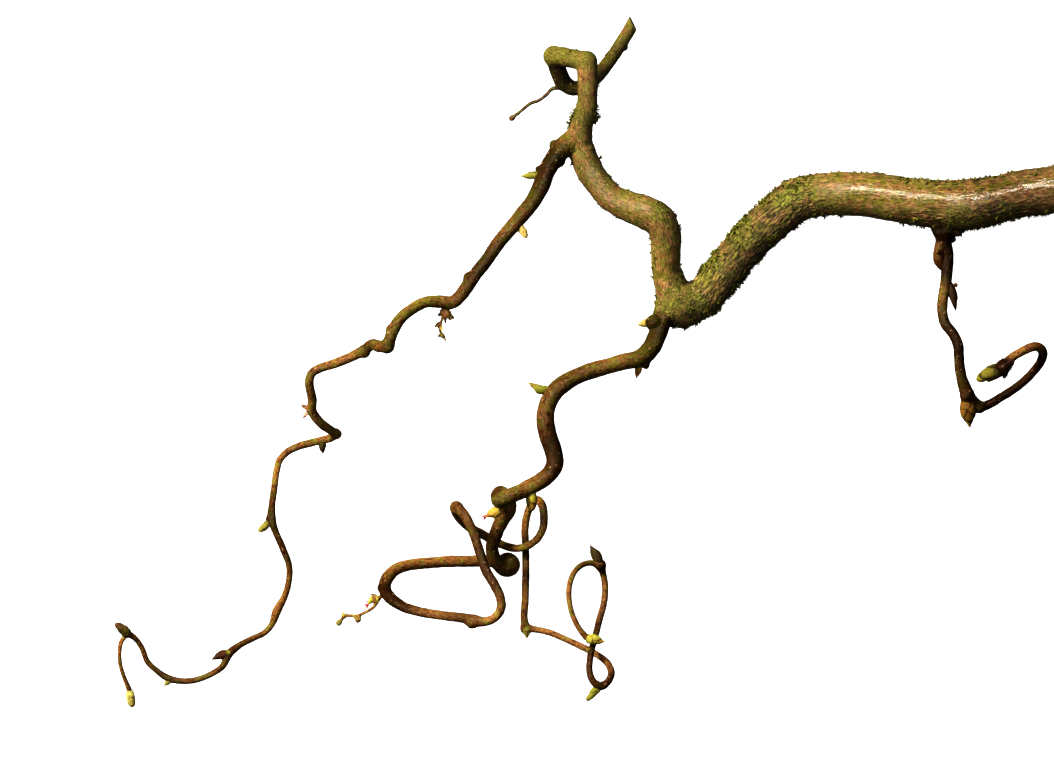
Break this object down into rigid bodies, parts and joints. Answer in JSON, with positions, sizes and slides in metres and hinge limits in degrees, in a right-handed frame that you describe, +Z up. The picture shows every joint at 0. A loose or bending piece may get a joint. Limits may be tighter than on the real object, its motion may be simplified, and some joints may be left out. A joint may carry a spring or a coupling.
{
  "type": "corkscrew hazel branch",
  "caption": "Pruned twisted branch with a mossy kinked limb, coiling side twigs and scaly winter buds, lying on a surface.",
  "frame": {"origin": "on the surface that the branch lies on, under the middle of its bounding box", "axes": "+X towards the limb's pruned end, +Y across the branch towards the top crook, +Z up off the surface"},
  "size_m": [0.3385, 0.2306, 0.046],
  "materials": {
    "bark": "olive and red-brown bark, satin to glossy, with a green film of moss on the limb",
    "bud": "yellow-green bud scales with brown edges, satin",
    "cut_wood": "pale fresh wood with growth rings, matt",
    "moss": "soft green moss and grey-green lichen, matt",
    "dry_scale": "dry papery scales and dead stalks, matt",
    "stigma": "small pink-red flower threads, matt"
  },
  "bodies": {
    "root": {"branch": "bark"}
  },
  "joints": []
}
